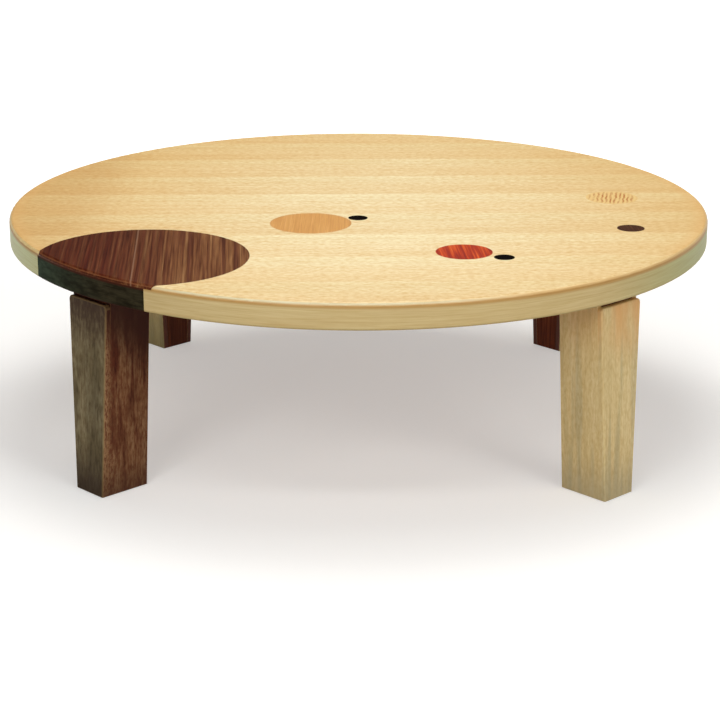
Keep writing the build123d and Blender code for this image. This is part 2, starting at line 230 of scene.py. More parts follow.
# %% [markdown]
# Soft boxes do the rest: lamps as large as a bed sheet on a frame. A long one hangs overhead, from
# front to back, so that the face of the top falls off a little to the left and right. A narrow one
# above the front rim draws the pale line along the rounded arris. A high one behind the table
# evens out the face. Two at the front light the rim and the legs. Spot lamps would be simpler, but
# their shadows are hard. The camera doesn't see the boxes themselves.

# %% Soft boxes
def soft_box(name, place, width, length, watts, aim):
    """An area light that points at a place, in metres and watts."""
    lamp = bpy.data.objects.new(name, bpy.data.lights.new(name, "AREA"))
    lamp.data.shape = "RECTANGLE"
    lamp.data.size = width
    lamp.data.size_y = length
    lamp.data.energy = watts
    lamp.location = place
    toward = Vector(aim) - Vector(place)
    lamp.rotation_euler = toward.to_track_quat("-Z", "Y").to_euler()
    lamp.visible_camera = False
    bpy.context.scene.collection.objects.link(lamp)


MIDDLE = (0.0, 0.0, 0.25)
# Each box's place, width, length, watts and aim.
SOFT_BOXES = {
    "overhead_box": ((0.04, 0.2, 1.6), 0.5, 1.8, 13.4, (0.04, 0.2, 0.0)),
    "arris_box": ((0.0, -1.16, 1.42), 1.3, 0.16, 4.2, (0.0, -0.5, 0.33)),
    "high_box": ((0.0, 1.0, 3.4), 1.6, 1.6, 33.0, MIDDLE),
    "front_left_box": ((-1.4, -3.7, 2.2), 1.6, 1.6, 41.0, MIDDLE),
    "front_right_box": ((2.5, -2.9, 2.2), 1.6, 1.6, 37.0, MIDDLE),
}
for name, (place, width, length, watts, aim) in SOFT_BOXES.items():
    soft_box(name, place, width, length, watts, aim)
print(len(SOFT_BOXES), "soft boxes")

# %% [markdown]
# ## Wood grain
# Wood is fibres and growth rings that run along the board. Seen on a cut face, both are streaks:
# fine ones a millimetre or two apart, and broad ones as wide as the rings. An image of a board
# could be wrapped round each piece, but it would stretch at the edges and stop at the joints.
# Noise that is pulled out along the grain runs through the whole thickness, as real grain does.
# It starts from coordinates whose X runs along the grain, for a board that lies any way round.

# %% Coordinates that follow the grain
# The turn that stands the grain upright, and how often it wavers along and across, in a metre.
UPRIGHT = (0.0, -math.pi / 2, 0.0)
SLOW = (2.5, 9.0, 9.0)


def along_grain(tree, turn, centre=(0.0, 0.0, 0.0), wander=2.0):
    """Coordinates in metres whose X runs along the grain, with a slow waver across it in mm."""
    own = add(tree, "ShaderNodeTexCoord").outputs["Object"]
    laid = add(tree, "ShaderNodeMapping", {"Vector": own, "Location": mm(*centre),
                                           "Rotation": turn}, vector_type="TEXTURE").outputs[0]
    return waver(tree, laid, wander)


def waver(tree, laid, wander):
    """Moves the coordinates slowly to and fro across the grain, by about that many mm."""
    slow = add(tree, "ShaderNodeVectorMath", {0: laid, 1: SLOW}, operation="MULTIPLY")
    drift = add(tree, "ShaderNodeTexNoise", {"Vector": slow.outputs[0], "Scale": 1.0,
                                             "Detail": 1.0})
    drift = add(tree, "ShaderNodeVectorMath", {0: drift.outputs["Color"], 1: (0.5, 0.5, 0.5)},
                operation="SUBTRACT")
    drift = add(tree, "ShaderNodeVectorMath", {0: drift.outputs[0],
                                               1: (0.0, mm(4 * wander), mm(4 * wander))},
                operation="MULTIPLY")
    return add(tree, "ShaderNodeVectorMath", {0: laid, 1: drift.outputs[0]}).outputs[0]


def around_rim(tree):
    """Coordinates for a band bent round the table: X along the rim from the front, Y out, Z up.
    The bearing in radians, with the left negative, and the height follow by themselves."""
    own = add(tree, "ShaderNodeTexCoord").outputs["Object"]
    place = add(tree, "ShaderNodeSeparateXYZ", {0: own}).outputs
    front = add(tree, "ShaderNodeMath", {0: place["Y"], 1: -1.0}, operation="MULTIPLY").outputs[0]
    angle = add(tree, "ShaderNodeMath", {0: place["X"], 1: front}, operation="ARCTAN2").outputs[0]
    along = add(tree, "ShaderNodeMath", {0: angle, 1: mm(TOP_RADIUS)}, operation="MULTIPLY")
    flat = add(tree, "ShaderNodeCombineXYZ", {0: place["X"], 1: place["Y"]}).outputs[0]
    out = add(tree, "ShaderNodeVectorMath", {0: flat}, operation="LENGTH").outputs["Value"]
    ring = add(tree, "ShaderNodeCombineXYZ", {0: along.outputs[0], 1: out, 2: place["Z"]})
    return ring.outputs[0], angle, place["Z"]


def height_of(tree):
    """The height above the floor, in metres."""
    own = add(tree, "ShaderNodeTexCoord").outputs["Object"]
    return add(tree, "ShaderNodeSeparateXYZ", {0: own}).outputs["Z"]


print("grain coordinates ready")

# %% [markdown]
# A finish is then built as a stainer works: a base colour, streaks that darken it a little, and
# thin washes of a second colour where the wood is stained, worn or aged. Some washes are painted
# light and shade instead, where a highlight or a shadow is drawn into the colour. Each wash has a
# mask that goes softly from nothing to its full share between two places.

# %% Streaks, washes and their masks
def streaks(tree, grain, length, width, detail=2.0, shift=0.0):
    """Noise from 0 to 1 in streaks of that length and width, in mm."""
    step = (1000 / length, 1000 / width, 1000 / width)
    pulled = add(tree, "ShaderNodeVectorMath", {0: grain, 1: step, 2: (shift, shift, shift)},
                 operation="MULTIPLY_ADD")
    return add(tree, "ShaderNodeTexNoise", {"Vector": pulled.outputs[0], "Scale": 1.0,
                                            "Detail": detail, "Roughness": 0.6}).outputs["Fac"]


def shade(tree, colour, factor, stops):
    """Multiplies a colour by a ramp, which is white where nothing changes."""
    tone = add(tree, "ShaderNodeValToRGB", {"Fac": factor}, stops=stops).outputs[0]
    return add(tree, "ShaderNodeMix", {0: 1.0, 6: colour, 7: tone}, data_type="RGBA",
               blend_type="MULTIPLY").outputs[2]


def lay_over(tree, colour, code, mask):
    """Lays a second colour over the first one where the mask is near 1."""
    return add(tree, "ShaderNodeMix", {0: mask, 6: colour, 7: tint(code)},
               data_type="RGBA").outputs[2]


def band_of(tree, value, low, high, top=1.0):
    """Goes from 0 to top as a value goes from low to high."""
    return add(tree, "ShaderNodeMapRange", {"Value": value, "From Min": low, "From Max": high,
                                            "To Max": top},
               interpolation_type="SMOOTHSTEP").outputs[0]


def sector(tree, angle, low, high, top=1.0):
    """Goes from 0 to top as a bearing from the front goes from low to high, in degrees."""
    return band_of(tree, angle, math.radians(low), math.radians(high), top)


print("streaks and washes ready")

# %% [markdown]
# The wood that shows is sealed with a clear satin lacquer: the wood's own colour under a thin coat,
# which is smoother than the wood. The pores still show in it as a shallow relief, and where the
# fibres stand up it is rubbed a little duller. The dark woods go without the coat and shine less,
# because a pale room mirrored in them would wash them out. Pine and lauan are left bare.

# %% Clear lacquer over wood
LACQUER_IOR = 1.5
LACQUER_ROUGHNESS = 0.25
PORE_DEPTH = 0.05
RUBBED = 0.12


def lacquered(name, build, rough=0.48, coat=0.15, specular=0.35):
    """A wood finish: build(tree) returns its colour and the height of its fibres, 0 to 1."""
    material, tree = blank_material(name)
    colour, height = build(tree)
    bump = add(tree, "ShaderNodeBump", {"Height": height, "Distance": mm(PORE_DEPTH),
                                         "Strength": 0.5})
    rubbed = band_of(tree, height, 0.2, 0.8, RUBBED)
    uneven = add(tree, "ShaderNodeMath", {0: rubbed, 1: rough - RUBBED / 2}, operation="ADD")
    surface = add(tree, "ShaderNodeBsdfPrincipled", {
        "Base Color": colour, "Roughness": uneven.outputs[0], "IOR": LACQUER_IOR,
        "Specular IOR Level": specular, "Coat Weight": coat, "Coat Roughness": LACQUER_ROUGHNESS,
        "Coat IOR": LACQUER_IOR, "Normal": bump.outputs[0]})
    add(tree, "ShaderNodeOutputMaterial", {"Surface": surface.outputs[0]})
    return material


print("a coat of lacquer", PORE_DEPTH, "mm deep in the pores")

# %% [markdown]
# ## Maple face
# The face is sliced maple veneer, laid in leaves about 123 mm wide whose grain runs from left to
# right. Every leaf is the next slice of the same log, so each goes from a pale line at its far edge
# to a warmer tone at its near edge. The ramp repeats once for each leaf, and each leaf's streaks
# start at a place of their own, as they do when slices are laid side by side. Maple also has
# short flecks, where the cut meets the rays of the log. Towards the rim the face turns a little
# darker and yellower: partly aged lacquer, partly a painted falloff of the light. The left end is
# darker still, which is painted shade. At the two ends it is darkest near the rounded edge, in a
# warmer tan.

# %% Maple veneer, sliced and lacquered
LEAF_WIDTH = 123.0
LEAF_TURN = math.radians(2.5)
FIRST_JOINT = 72.0
# Where the face is palest, how far off its darkening is full (partly aged lacquer, partly painted
# falloff of the light), and how much further that is from front to back. Then the painted shade at
# the left end, and the warmer tan near the rim at the ends.
AGE_AND_FALLOFF_CENTRE = (35.0, -100.0)
AGE_AND_FALLOFF_FROM, AGE_AND_FALLOFF_TO = 10.0, 716.0
AGE_AND_FALLOFF_STRETCH = 1.52
LEFT_SHADE_FROM, LEFT_SHADE_TO = -337.0, -440.0
RIM_TAN_FROM, RIM_TAN_TO = 494.0, 521.0
RIM_TAN_SIDE_FROM, RIM_TAN_SIDE_TO = 385.0, 505.0


def maple_face(tree):
    laid = along_grain(tree, (0, 0, LEAF_TURN), (0.0, FIRST_JOINT, TABLE_HEIGHT), wander=0.0)
    across = add(tree, "ShaderNodeSeparateXYZ", {0: laid}).outputs["Y"]
    leaves = add(tree, "ShaderNodeMath", {0: across, 1: -1 / mm(LEAF_WIDTH)}, operation="MULTIPLY")
    number = add(tree, "ShaderNodeMath", {0: leaves.outputs[0]}, operation="FLOOR").outputs[0]
    part = add(tree, "ShaderNodeMath", {0: leaves.outputs[0]}, operation="FRACT").outputs[0]
    colour = add(tree, "ShaderNodeValToRGB", {"Fac": part}, stops=[
        (0.0, "#EAD9B2"), (0.07, "#EEE3C0"), (0.22, "#ECE0BC"), (0.6, "#EBDBB5"),
        (0.9, "#E9D7AF"), (1.0, "#E9D7AF")]).outputs[0]
    chance = add(tree, "ShaderNodeTexWhiteNoise", {"W": number}, noise_dimensions="1D")
    colour = shade(tree, colour, chance.outputs["Value"], [(0.0, "#FAF7F2"), (1.0, "#FFFFFF")])
    start = add(tree, "ShaderNodeCombineXYZ", {0: chance.outputs["Value"]}).outputs[0]
    moved = add(tree, "ShaderNodeVectorMath", {0: laid, 1: start}).outputs[0]
    grain = waver(tree, moved, 1.5)
    broad = streaks(tree, grain, 420, 14)
    fine = streaks(tree, grain, 90, 2.4, detail=3)
    fleck = streaks(tree, grain, 9, 4.5, detail=2, shift=5.0)
    colour = shade(tree, colour, broad, [(0.3, "#FAF4EA"), (0.62, "#FFFFFF")])
    colour = shade(tree, colour, fine, [(0.32, "#F6ECDE"), (0.6, "#FFFFFF")])
    colour = shade(tree, colour, fleck, [(0.3, "#EFDFC8"), (0.62, "#FFFFFF")])
    own = add(tree, "ShaderNodeTexCoord").outputs["Object"]
    # Darker and yellower towards the rim: partly aged lacquer, partly a painted falloff of the
    # light.
    aged_and_falloff = add(tree, "ShaderNodeMapping", {
        "Vector": own, "Location": mm(*AGE_AND_FALLOFF_CENTRE, TABLE_HEIGHT),
        "Scale": (1.0, AGE_AND_FALLOFF_STRETCH, 1.0)}, vector_type="TEXTURE").outputs[0]
    aged_and_falloff = add(tree, "ShaderNodeVectorMath", {0: aged_and_falloff}, operation="LENGTH").outputs["Value"]
    aged_and_falloff = band_of(tree, aged_and_falloff, mm(AGE_AND_FALLOFF_FROM), mm(AGE_AND_FALLOFF_TO))
    colour = shade(tree, colour, aged_and_falloff, [(0.0, "#FCFFFF"), (1.0, "#F6E4BF")])
    place = add(tree, "ShaderNodeSeparateXYZ", {0: own}).outputs
    # Painted shade: the left end of the face is darker.
    left = band_of(tree, place["X"], mm(LEFT_SHADE_FROM), mm(LEFT_SHADE_TO))
    colour = shade(tree, colour, left, [(0.0, "#FFFFFF"), (1.0, "#F4EEE7")])
    flat = add(tree, "ShaderNodeCombineXYZ", {0: place["X"], 1: place["Y"]}).outputs[0]
    out = add(tree, "ShaderNodeVectorMath", {0: flat}, operation="LENGTH").outputs["Value"]
    side = add(tree, "ShaderNodeMath", {0: place["X"]}, operation="ABSOLUTE").outputs[0]
    # A warmer, darker tan near the rim at the two ends.
    rim_tan = add(tree, "ShaderNodeMath", {
        0: band_of(tree, out, mm(RIM_TAN_FROM), mm(RIM_TAN_TO)),
        1: band_of(tree, side, mm(RIM_TAN_SIDE_FROM), mm(RIM_TAN_SIDE_TO), 0.5)},
        operation="MULTIPLY").outputs[0]
    return lay_over(tree, colour, "#D7A868", rim_tan), fine


maple_veneer = lacquered("maple_veneer_sliced_lacquered", maple_face, specular=0.15, coat=0.1)
print(maple_veneer.name, "in leaves of", LEAF_WIDTH, "mm")

# %% [markdown]
# ## Plywood edge
# The rounded rim cuts through the plywood under the face, so its plies show as thin lines: pale
# where the fibres run along the rim and brown where the glue and the end grain soak up lacquer.
# Along the front a painted highlight turns the upper plies almost white, where the rounded arris
# catches the light from above, and at the left the uppermost plies are as warm as the face. The
# band below carries the brown on along its upper edge.

# %% Plywood edge, rounded over and lacquered
PLY_LOW, PLY_HIGH = 321.0, 326.0


def ply_layers(tree):
    ring, angle, up = around_rim(tree)
    layer = add(tree, "ShaderNodeMapRange", {"Value": up, "From Min": mm(PLY_LOW),
                                             "From Max": mm(PLY_HIGH)}).outputs[0]
    colour = add(tree, "ShaderNodeValToRGB", {"Fac": layer}, stops=[
        (0.0, "#B68D54"), (0.16, "#C2995D"), (0.36, "#C99F62"), (0.46, "#D6B177"),
        (0.75, "#DDBB82"), (1.0, "#E4C894")]).outputs[0]
    # Painted highlight: the upper plies go almost white along the front, where the arris catches
    # light.
    painted_highlight = add(tree, "ShaderNodeValToRGB", {"Fac": layer}, stops=[
        (0.24, "#000000"), (0.46, "#B0B0B0"), (0.74, "#E8E8E8"), (1.0, "#A0A0A0")]).outputs[0]
    front = add(tree, "ShaderNodeMath", {0: sector(tree, angle, 30, 6),
                                         1: sector(tree, angle, -36, -24)},
                operation="MULTIPLY").outputs[0]
    painted_highlight = add(tree, "ShaderNodeMath", {0: painted_highlight, 1: front}, operation="MULTIPLY").outputs[0]
    colour = lay_over(tree, colour, "#E3E1C0", painted_highlight)
    left = add(tree, "ShaderNodeMath", {0: sector(tree, angle, -48, -64),
                                        1: sector(tree, angle, -150, -120, 0.85)},
               operation="MULTIPLY").outputs[0]
    left = add(tree, "ShaderNodeMath", {0: left, 1: band_of(tree, layer, 0.2, 0.5)},
               operation="MULTIPLY").outputs[0]
    colour = lay_over(tree, colour, "#EDD596", left)
    fine = streaks(tree, ring, 40, 1.2, detail=2)
    colour = shade(tree, colour, fine, [(0.3, "#F0E6D8"), (0.6, "#FFFFFF")])
    return colour, fine


plywood_edge = lacquered("birch_plywood_edge_lacquered", ply_layers, specular=0.12, coat=0.15)
print(plywood_edge.name)


# %% [markdown]
# ## Edge band
# The band is solid maple bent round the core, with its grain along the rim. It is tan at the front
# and back; at the two sides a painted greenish light turns it olive, and at the left that painted
# light is palest. Where the large disc runs out over the rim, the band is dark walnut instead,
# clouded, and a painted greenish light makes it a little greener towards the left. A brown line
# runs along the top of both, where the glue and the lacquer gather, and a darker line of painted
# shade runs along the bottom, under the lower arris.

# %% Maple band, bent and lacquered
BROWN_FROM, BROWN_TO = 316.5, 320.5


def maple_ring(tree):
    ring, angle, up = around_rim(tree)
    grain = waver(tree, ring, 1.0)
    broad = streaks(tree, grain, 260, 7)
    fine = streaks(tree, grain, 60, 1.6, detail=3)
    colour = add(tree, "ShaderNodeValToRGB", {"Fac": broad}, stops=[
        (0.25, "#C9AF7C"), (0.5, "#CFB884"), (0.75, "#D5C08D")]).outputs[0]
    side = add(tree, "ShaderNodeMath", {0: angle}, operation="SINE").outputs[0]
    side = add(tree, "ShaderNodeMath", {0: side}, operation="ABSOLUTE").outputs[0]
    turn = add(tree, "ShaderNodeMath", {0: angle}, operation="ABSOLUTE").outputs[0]
    # Painted light: the two sides of the rim take an olive cast of the light.
    olive = add(tree, "ShaderNodeMath", {0: band_of(tree, side, 0.6, 0.98, 0.82),
                                         1: sector(tree, turn, 118, 92)},
                operation="MULTIPLY").outputs[0]
    colour = lay_over(tree, colour, "#B3BB84", olive)
    # Painted light: towards the left the band is paler and greener.
    pale = add(tree, "ShaderNodeMath", {0: sector(tree, angle, -50, -66, 0.9),
                                        1: sector(tree, angle, -122, -96)},
               operation="MULTIPLY").outputs[0]
    colour = lay_over(tree, colour, "#D0D3A2", pale)
    colour = shade(tree, colour, fine, [(0.3, "#F1E9DA"), (0.6, "#FFFFFF")])
    brown = band_of(tree, up, mm(BROWN_FROM), mm(BROWN_TO), 0.85)
    colour = lay_over(tree, colour, "#BC9152", brown)
    # Painted shade: darker along the bottom, under the lower arris.
    low = band_of(tree, up, mm(UNDERSIDE + 4.0), mm(UNDERSIDE + 0.5), 0.7)
    colour = lay_over(tree, colour, "#A08850", low)
    return colour, fine


maple_band = lacquered("maple_band_bent_lacquered", maple_ring, specular=0.12, coat=0.05)
print(maple_band.name)


# %% [markdown]
# The walnut stretch is short and comes from figured wood, so it is clouded every few centimetres.
# It hardly shines: against a white room even a little gloss would turn a dark rim grey.

# %% Walnut band, bent and lacquered
def walnut_ring(tree):
    ring, angle, up = around_rim(tree)
    grain = waver(tree, ring, 1.0)
    fine = streaks(tree, grain, 70, 1.8, detail=3)
    cloud = streaks(tree, grain, 26, 9.0, detail=3, shift=6.0)
    colour = add(tree, "ShaderNodeValToRGB", {"Fac": fine}, stops=[
        (0.3, "#2C271A"), (0.7, "#3C3626")]).outputs[0]
    # Painted light: the walnut turns greener towards the left.
    left = sector(tree, angle, -38, -66)
    colour = lay_over(tree, colour, "#394B39", left)
    colour = shade(tree, colour, cloud, [(0.34, "#A8A49C"), (0.6, "#FFFFFF")])
    colour = lay_over(tree, colour, "#431F14", band_of(tree, up, mm(317.0), mm(320.0), 0.9))
    # Painted shade: darker along the bottom, under the lower arris.
    low = band_of(tree, up, mm(UNDERSIDE + 3.0), mm(UNDERSIDE + 0.6), 0.8)
    colour = lay_over(tree, colour, "#381C14", low)
    return colour, fine


walnut_band = lacquered("walnut_band_bent_lacquered", walnut_ring, specular=0.012, coat=0.0)
print(walnut_band.name)


# %% [markdown]
# ## The inlaid discs
# Seven discs of other woods are let into the face, all with their grain from front to back, across
# the maple's. One function lays out a disc's grain, and each wood then has a recipe of its own.

# %% Places of the discs
DISCS = {
    "walnut": (-295.2, -305.7),
    "cherry": (-68.5, -114.0),
    "padauk": (152.5, -270.0),
    "zebrano": (389.5, 55.0),
    "rosewood": (399.5, -132.5),
}


def disc_grain(tree, wood, lean, wander):
    """Coordinates round a disc's middle, with X from front to back and leaning by some degrees."""
    turn = (0.0, 0.0, math.radians(90 + lean))
    return along_grain(tree, turn, DISCS[wood] + (TABLE_HEIGHT,), wander)


print(len(DISCS), "woods let in, and ebony")


# %% [markdown]
# Walnut's rings are 10 to 20 mm apart here and differ in tone. The disc is redder and darker at the
# left, near the heart of the log, and greyer at the right. One thin pale streak runs through it.
# Its rim is rounded over with the top's, and a painted highlight runs along that arris.

# %% Walnut disc, sliced and lacquered
HEART_FROM, HEART_TO = -115.0, 75.0
HEART_SHARE = 0.77
STREAK_PLACE = 10.4


def walnut_disc(tree):
    grain = disc_grain(tree, "walnut", 4.3, 0.5)
    aside = add(tree, "ShaderNodeSeparateXYZ", {0: grain}).outputs["Y"]
    up = height_of(tree)
    rings = streaks(tree, grain, 700, 9.0, detail=2)
    thin = streaks(tree, grain, 260, 3.4, detail=2, shift=4.0)
    fine = streaks(tree, grain, 80, 1.7, detail=3)
    colour = add(tree, "ShaderNodeValToRGB", {"Fac": rings}, stops=[
        (0.28, "#5C3322"), (0.42, "#73472C"), (0.55, "#8B603B"), (0.7, "#A88256")]).outputs[0]
    heart = band_of(tree, aside, mm(HEART_FROM), mm(HEART_TO))
    dark = add(tree, "ShaderNodeMix", {0: HEART_SHARE, 6: colour, 7: tint("#551C0D")},
               data_type="RGBA").outputs[2]
    colour = add(tree, "ShaderNodeMix", {0: heart, 6: colour, 7: dark},
                 data_type="RGBA").outputs[2]
    colour = shade(tree, colour, thin, [(0.36, "#BDA496"), (0.6, "#FFFFFF")])
    colour = shade(tree, colour, fine, [(0.3, "#B9A394"), (0.6, "#FFFFFF")])
    near = add(tree, "ShaderNodeMath", {0: aside, 1: mm(STREAK_PLACE)}, operation="SUBTRACT")
    near = add(tree, "ShaderNodeMath", {0: near.outputs[0]}, operation="ABSOLUTE").outputs[0]
    streak = add(tree, "ShaderNodeMapRange", {"Value": near, "From Min": mm(0.4),
                                              "From Max": mm(1.6), "To Min": 0.36, "To Max": 0.0})
    colour = lay_over(tree, colour, "#A88468", streak.outputs[0])
    # Painted highlight: a lighter line along the rounded arris.
    rise = add(tree, "ShaderNodeMapRange", {"Value": up, "From Min": mm(PLY_LOW),
                                            "From Max": mm(TABLE_HEIGHT)}).outputs[0]
    arris = add(tree, "ShaderNodeValToRGB", {"Fac": rise}, stops=[
        (0.0, "#606060"), (0.34, "#303030"), (0.46, "#000000"), (0.62, "#C0C0C0"),
        (0.8, "#000000")]).outputs[0]
    colour = lay_over(tree, colour, "#96603E", arris)
    return colour, fine


walnut_inlay = lacquered("walnut_veneer_sliced_lacquered", walnut_disc, rough=0.36, specular=0.05,
                         coat=0.0)
print(walnut_inlay.name)


# %% [markdown]
# The small discs are cherry, padauk, rosewood, ebony and zebrano. Cherry is even and finely
# striped. Padauk is orange-red, with dark streaks that lean a little.

# %% Cherry and padauk
def cherry_disc(tree):
    grain = disc_grain(tree, "cherry", 0.0, 2.0)
    rings = streaks(tree, grain, 300, 4.0)
    fine = streaks(tree, grain, 60, 1.6, detail=3)
    colour = add(tree, "ShaderNodeValToRGB", {"Fac": rings}, stops=[
        (0.3, "#C08C4C"), (0.55, "#CB9755"), (0.75, "#D3A162")]).outputs[0]
    return shade(tree, colour, fine, [(0.3, "#EBDDCB"), (0.6, "#FFFFFF")]), fine


def padauk_disc(tree):
    grain = disc_grain(tree, "padauk", 5.0, 1.5)
    rings = streaks(tree, grain, 160, 5.0, shift=3.0)
    fine = streaks(tree, grain, 50, 1.5, detail=3)
    colour = add(tree, "ShaderNodeValToRGB", {"Fac": rings}, stops=[
        (0.32, "#8C2412"), (0.48, "#A83414"), (0.58, "#C24A18"), (0.72, "#D8682A")]).outputs[0]
    return shade(tree, colour, fine, [(0.3, "#D9B8AC"), (0.6, "#FFFFFF")]), fine


cherry_inlay = lacquered("cherry_veneer_sliced_lacquered", cherry_disc, specular=0.15, coat=0.1)
padauk_inlay = lacquered("padauk_veneer_sliced_lacquered", padauk_disc, specular=0.12, coat=0.0)
print(cherry_inlay.name, padauk_inlay.name)


# %% [markdown]
# Rosewood and ebony are dense and close-grained, so their streaks are narrow and near to one tone.
# Ebony is almost black. One recipe serves both ebony discs, which lie in two places.

# %% Rosewood and ebony
def rosewood_disc(tree):
    grain = disc_grain(tree, "rosewood", 6.0, 1.5)
    rings = streaks(tree, grain, 120, 3.0)
    fine = streaks(tree, grain, 40, 1.2, detail=3)
    colour = add(tree, "ShaderNodeValToRGB", {"Fac": rings}, stops=[
        (0.3, "#331A0F"), (0.5, "#4B2C1A"), (0.7, "#674129")]).outputs[0]
    return shade(tree, colour, fine, [(0.3, "#C9B8B0"), (0.6, "#FFFFFF")]), fine


def ebony_disc(tree):
    fine = streaks(tree, along_grain(tree, (0, 0, math.pi / 2)), 60, 1.4, detail=3)
    return add(tree, "ShaderNodeValToRGB", {"Fac": fine}, stops=[
        (0.3, "#050302"), (0.75, "#130C09")]).outputs[0], fine


rosewood_inlay = lacquered("rosewood_veneer_sliced_lacquered", rosewood_disc, specular=0.08,
                           coat=0.0)
ebony_inlay = lacquered("ebony_veneer_sliced_lacquered", ebony_disc, specular=0.005, coat=0.0)
print(rosewood_inlay.name, ebony_inlay.name)


# %% [markdown]
# Zebrano is as pale as the maple, with wavy brown stripes that fade out before the disc's edge.
# Noise alone gives stripes of every width, so a sine across the grain sets their pitch. Noise then
# moves them to and fro and breaks them up.

# %% Zebrano
ZEBRA_PITCH = 6.6
ZEBRA_REACH = 40.0
ZEBRA_KINK = 4.0


def zebrano_disc(tree):
    grain = disc_grain(tree, "zebrano", -8.0, 0.5)
    kink = streaks(tree, grain, 30, 20.0, detail=1)
    kink = add(tree, "ShaderNodeMapRange", {"Value": kink, "To Min": mm(-ZEBRA_KINK),
                                            "To Max": mm(ZEBRA_KINK)})
    kink = add(tree, "ShaderNodeCombineXYZ", {1: kink.outputs[0]}).outputs[0]
    grain = add(tree, "ShaderNodeVectorMath", {0: grain, 1: kink}).outputs[0]
    place = add(tree, "ShaderNodeSeparateXYZ", {0: grain}).outputs
    turns = add(tree, "ShaderNodeMath", {0: place["Y"], 1: 2 * math.pi / mm(ZEBRA_PITCH)},
                operation="MULTIPLY").outputs[0]
    wave = add(tree, "ShaderNodeMath", {0: turns}, operation="SINE").outputs[0]
    middle = add(tree, "ShaderNodeMapping", {
        "Vector": add(tree, "ShaderNodeTexCoord").outputs["Object"],
        "Location": mm(*DISCS["zebrano"], TABLE_HEIGHT)}, vector_type="TEXTURE").outputs[0]
    far = add(tree, "ShaderNodeVectorMath", {0: middle}, operation="LENGTH").outputs["Value"]
    patchy = streaks(tree, grain, 30, 5.0)
    inside = add(tree, "ShaderNodeMapRange", {"Value": far, "From Min": mm(0.7 * ZEBRA_REACH),
                                              "From Max": mm(ZEBRA_REACH), "To Min": 1.0,
                                              "To Max": 0.1}).outputs[0]
    stripe = band_of(tree, wave, -0.4, 0.8)
    stripe = add(tree, "ShaderNodeMath", {0: stripe, 1: inside}, operation="MULTIPLY").outputs[0]
    stripe = add(tree, "ShaderNodeMath", {0: stripe, 1: band_of(tree, patchy, 0.25, 0.6)},
                 operation="MULTIPLY").outputs[0]
    fine = streaks(tree, grain, 60, 1.6, detail=3)
    colour = add(tree, "ShaderNodeValToRGB", {"Fac": fine}, stops=[
        (0.3, "#D8B373"), (0.6, "#DFBF80")]).outputs[0]
    return lay_over(tree, colour, "#AE6A28", stripe), fine


zebrano_inlay = lacquered("zebrano_veneer_sliced_lacquered", zebrano_disc, specular=0.15,
                          coat=0.1)
print(zebrano_inlay.name, "striped every", ZEBRA_PITCH, "mm")


# %% [markdown]
# ## The legs
# Each leg is a hollow post of four boards with the grain upright. The front left leg is walnut, the
# other three are rubberwood, and the inner boards and the heads that turn on the hinges are dark
# walnut heartwood on all four. The arrises are paler, partly worn by handling and partly a painted
# highlight where the rounded arris catches the light, so each piece carries an attribute that is 1
# on its narrow rounded faces. A second attribute is 1 on the faces that turn away from a board's
# broad side: the walnut outer board's edges are stained like its side boards, and every side
# board's inner edge like the inner board.

# %% Worn arrises and turned edges
ARRIS_MARK = "arris"
TURNED = "turned_edge"
HEART_TONE = "#632F18"


def arris_wear_and_highlight(tree, colour, code, amount):
    """Lays a paler tone over the rounded arrises: partly wear, partly a painted highlight."""
    edge = add(tree, "ShaderNodeAttribute", attribute_name=ARRIS_MARK).outputs["Fac"]
    mask = add(tree, "ShaderNodeMath", {0: edge, 1: amount}, operation="MULTIPLY").outputs[0]
    return lay_over(tree, colour, code, mask)


def turned(tree, colour, other):
    """Gives a board's turned edges another colour."""
    edge = add(tree, "ShaderNodeAttribute", attribute_name=TURNED).outputs["Fac"]
    return add(tree, "ShaderNodeMix", {0: edge, 6: colour, 7: other}, data_type="RGBA").outputs[2]


print("boards marked with", ARRIS_MARK, "and", TURNED)


# %% [markdown]
# The walnut leg's side boards are red-brown with tan clouds and dark blotches. Beside the outer
# arris they are worn paler and speckled. They are darkest under the top, and that shadow reaches
# lower towards the inner face. A plain wash by height would miss that, so the height is moved by
# how far inwards a point lies.

# %% Walnut side boards, planed and lacquered
ARRIS_REACH, INNER_REACH = 520.0, 440.0
SHADOW_RISE = 62.0
SHADOW_FROM, SHADOW_TO = 202.0, 288.0


def from_arris(tree, bearing):
    """0 at a leg's outer face and 1 at its inner face, for the leg that stands at that bearing."""
    own = add(tree, "ShaderNodeTexCoord").outputs["Object"]
    outward = (math.cos(math.radians(bearing)), math.sin(math.radians(bearing)), 0.0)
    reach = add(tree, "ShaderNodeVectorMath", {0: own, 1: outward}, operation="DOT_PRODUCT")
    return add(tree, "ShaderNodeMapRange", {
        "Value": reach.outputs["Value"], "From Min": mm(ARRIS_REACH),
        "From Max": mm(INNER_REACH)}).outputs[0]


